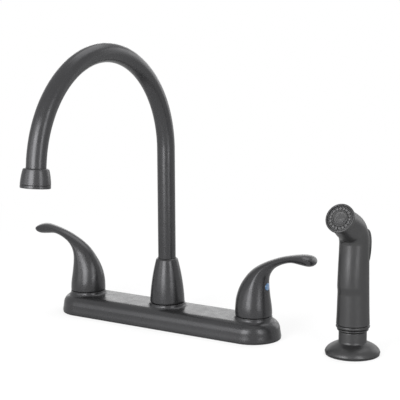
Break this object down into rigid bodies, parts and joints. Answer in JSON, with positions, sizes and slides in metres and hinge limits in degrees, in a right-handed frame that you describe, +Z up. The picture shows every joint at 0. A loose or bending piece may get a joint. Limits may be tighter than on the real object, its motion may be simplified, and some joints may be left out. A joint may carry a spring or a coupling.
{
  "type": "two handle kitchen faucet",
  "caption": "Deck-mounted kitchen faucet: long plate with two lever handles, high-arc swivel spout on a bell, and a side sprayer in its own holder.",
  "frame": {"origin": "on the plane of the sink deck, straight under the axis that the spout turns on", "axes": "+Z up out of the deck; the spout reaches towards -Y, over the sink and the user; +X to the user's right, where the cold handle and the sprayer stand"},
  "size_m": [0.4031, 0.2456, 0.3356],
  "materials": {
    "black_coat": "satin dark grey-black coat",
    "brass": "turned",
    "copper": "drawn tube",
    "steel": "plain",
    "rubber": "moulded",
    "white_plastic": "moulded",
    "dark_plastic": "moulded",
    "ceramic": "lapped ceramic",
    "hot_red": "moulded",
    "cold_blue": "moulded"
  },
  "bodies": {
    "base": {"deck_plate": "black_coat", "spout_bell": "black_coat", "sprayer_holder": "black_coat", "hot_valve_body": "brass", "cold_valve_body": "brass", "hot_bonnet_nut": "brass", "cold_bonnet_nut": "brass", "hot_mounting_nut": "brass", "cold_mounting_nut": "brass", "spout_hub": "brass", "spray_nipple": "brass", "holder_nut": "brass", "hot_crossover_tube": "copper", "cold_crossover_tube": "copper", "deck_gasket": "rubber", "holder_gasket": "rubber", "hot_cartridge": "white_plastic", "cold_cartridge": "white_plastic", "spout_glide_ring": "white_plastic", "hot_mounting_washer": "dark_plastic", "cold_mounting_washer": "dark_plastic", "hot_fixed_disc": "ceramic", "cold_fixed_disc": "ceramic"},
    "hot_lever": {"hot_handle": "black_coat", "hot_set_screw": "steel", "hot_index_button": "hot_red", "hot_valve_stem": "brass", "hot_moving_disc": "ceramic"},
    "cold_lever": {"cold_handle": "black_coat", "cold_set_screw": "steel", "cold_index_button": "cold_blue", "cold_valve_stem": "brass", "cold_moving_disc": "ceramic"},
    "spout": {"spout_tube": "black_coat", "spout_adapter": "brass", "spout_seal_ring_1": "rubber", "spout_seal_ring_2": "rubber", "outlet_cup": "black_coat", "aerator_housing": "black_coat", "aerator_insert": "white_plastic", "aerator_washer": "rubber"},
    "diverter": {"diverter_piston": "white_plastic"},
    "sprayer": {"spray_body": "black_coat", "trigger_pin": "steel", "valve_spring": "steel", "spring_seat": "brass", "spray_collar": "black_coat", "hose_coupling": "brass", "coupling_washer": "rubber", "nozzle_rim": "black_coat", "spray_face": "dark_plastic"},
    "trigger": {"spray_trigger": "black_coat"},
    "plunger": {"valve_plunger": "white_plastic"}
  },
  "joints": [
    {"name": "hot_handle_turn", "type": "hinge", "parent": "base", "child": "hot_lever", "pos_m": [-0.1016, 0, 0.0234], "axis": [0, 0, 1], "range_deg": [0, 90]},
    {"name": "cold_handle_turn", "type": "hinge", "parent": "base", "child": "cold_lever", "pos_m": [0.1016, 0, 0.0234], "axis": [0, 0, 1], "range_deg": [-90, 0]},
    {"name": "spout_swivel", "type": "hinge", "parent": "base", "child": "spout", "pos_m": [0, 0, 0.0396], "axis": [0, 0, 1], "range_deg": [-70, 70]},
    {"name": "diverter_lift", "type": "slide", "parent": "base", "child": "diverter", "axis": [0, 0, 1], "range_m": [0, 0.003]},
    {"name": "sprayer_lift", "type": "slide", "parent": "base", "child": "sprayer", "axis": [0, 0, 1], "range_m": [0, 0.15]},
    {"name": "trigger_squeeze", "type": "hinge", "parent": "sprayer", "child": "trigger", "pos_m": [0.2076, 0.0095, 0.112], "axis": [-1, 0, 0], "range_deg": [0, 7], "stiffness_Nm_per_rad": 0.6},
    {"name": "plunger_slide", "type": "slide", "parent": "sprayer", "child": "plunger", "axis": [0, 0, -1], "range_m": [0, 0.0019], "deforming": ["valve_spring"]}
  ],
  "couplings": [
    {"joint": "plunger_slide", "follows": "trigger_squeeze", "m_per_rad": 0.0152}
  ]
}
